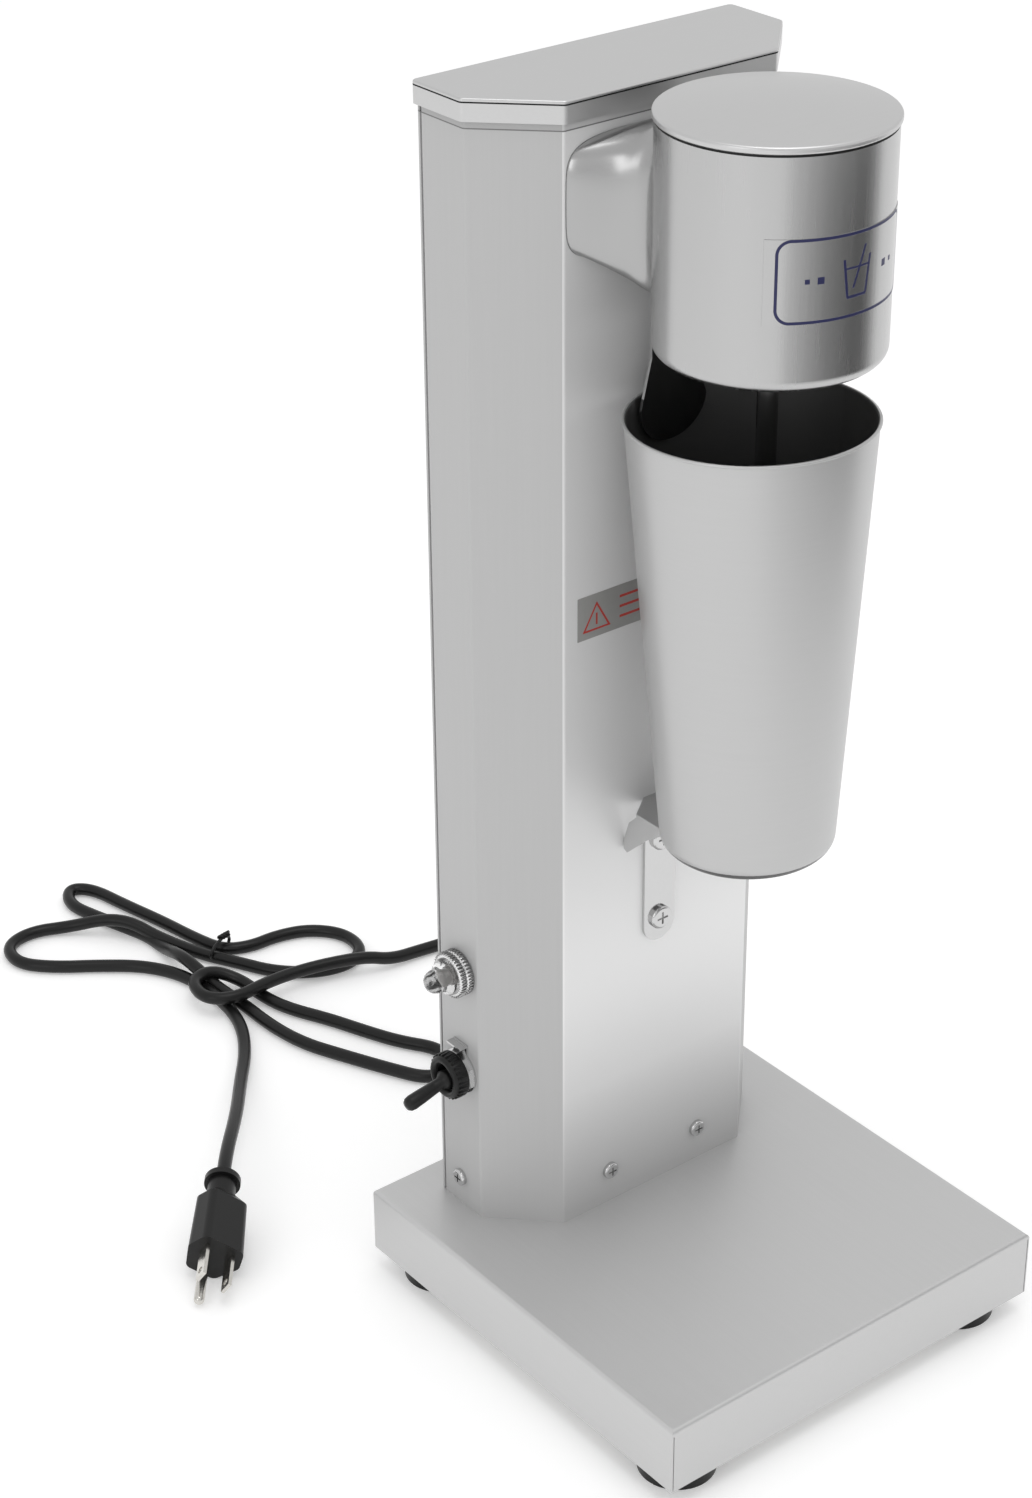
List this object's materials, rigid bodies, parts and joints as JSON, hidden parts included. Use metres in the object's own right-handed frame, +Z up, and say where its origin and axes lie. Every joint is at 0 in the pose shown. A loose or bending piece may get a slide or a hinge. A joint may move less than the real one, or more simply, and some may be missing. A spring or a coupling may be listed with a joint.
{
  "type": "milkshake mixer",
  "caption": "Counter-top milkshake mixer: folded steel base and column, motor head on a neck, spindle in a tall steel cup, toggle switch, lamp and cord.",
  "frame": {"origin": "centre of the base's footprint on the surface that it stands on", "axes": "+Z up, the head and the cup face -Y, +X to the right seen from the front"},
  "size_m": [0.3006, 0.559, 0.539],
  "materials": {
    "brushed_sheet": "brushed",
    "polished_steel": "polished",
    "satin_cup_steel": "satin",
    "zinc_steel": "zinc plated",
    "cast_aluminium": "cast",
    "lamination_steel": "varnished",
    "copper_winding": "varnished",
    "brass_part": "plain",
    "carbon": "carbon",
    "black_rubber": "matte",
    "black_plastic": "moulded",
    "cord_vinyl": "satin",
    "clear_lens": "clear",
    "neon_bulb": "lamp glass",
    "sticker_film": "printed",
    "badge_film": "printed",
    "wire_sleeve": "matte",
    "fibre": "moulded"
  },
  "bodies": {
    "stand": {"base_pan": "brushed_sheet", "base_bottom_plate": "zinc_steel", "rubber_feet": "black_rubber", "foot_screws": "zinc_steel", "column_shell": "brushed_sheet", "rear_cover": "brushed_sheet", "rear_cover_screws": "polished_steel", "top_cap": "brushed_sheet", "column_brackets": "zinc_steel", "column_screws": "polished_steel", "hex_nuts": "zinc_steel", "motor_housing": "brushed_sheet", "motor_lid": "brushed_sheet", "lid_gasket": "black_rubber", "neck_housing": "brushed_sheet", "neck_arm": "cast_aluminium", "neck_backing_plate": "zinc_steel", "neck_bolts": "zinc_steel", "housing_screws": "zinc_steel", "lower_bearing_bracket": "cast_aluminium", "upper_bearing_bracket": "cast_aluminium", "motor_bearings": "polished_steel", "stator_core": "lamination_steel", "field_coils": "copper_winding", "motor_through_bolts": "zinc_steel", "brushes": "carbon", "brush_holders": "brass_part", "spindle_seal": "black_rubber", "cup_rest": "polished_steel", "cup_rest_screws": "polished_steel", "cup_guide": "polished_steel", "cup_guide_screws": "polished_steel", "switch_body": "black_plastic", "switch_plate": "polished_steel", "panel_nuts": "polished_steel", "switch_boot_nut": "black_rubber", "lamp_body": "black_plastic", "lamp_bezel": "polished_steel", "lamp_lens": "clear_lens", "lamp_bulb": "neon_bulb", "terminal_block": "fibre", "suppression_capacitor": "black_plastic", "motor_wiring": "wire_sleeve", "safety_sticker": "sticker_film", "head_badge": "badge_film", "power_cord": "cord_vinyl", "cord_bundle": "cord_vinyl", "cord_tie": "black_plastic", "strain_relief": "black_rubber", "plug_body": "black_plastic", "plug_blades": "brass_part"},
    "spindle": {"motor_shaft": "polished_steel", "spindle_shaft": "polished_steel", "agitator_discs": "polished_steel", "armature_core": "lamination_steel", "armature_winding": "copper_winding", "commutator": "brass_part", "cooling_fan": "black_plastic"},
    "lever": {"switch_lever": "black_rubber"},
    "cup": {"cup": "satin_cup_steel"}
  },
  "joints": [
    {"name": "spindle_spin", "type": "hinge", "parent": "stand", "child": "spindle", "pos_m": [0, -0.0265, 0.4], "axis": [0, 0, 1], "continuous": true},
    {"name": "switch_toggle", "type": "hinge", "parent": "stand", "child": "lever", "pos_m": [-0.077, 0.067, 0.1117], "axis": [0, 1, 0], "range_deg": [0, 24]},
    {"name": "cup_tilt", "type": "hinge", "parent": "stand", "child": "cup", "pos_m": [0, 0.029, 0.4163], "axis": [-1, 0, 0], "range_deg": [0, 3]}
  ]
}
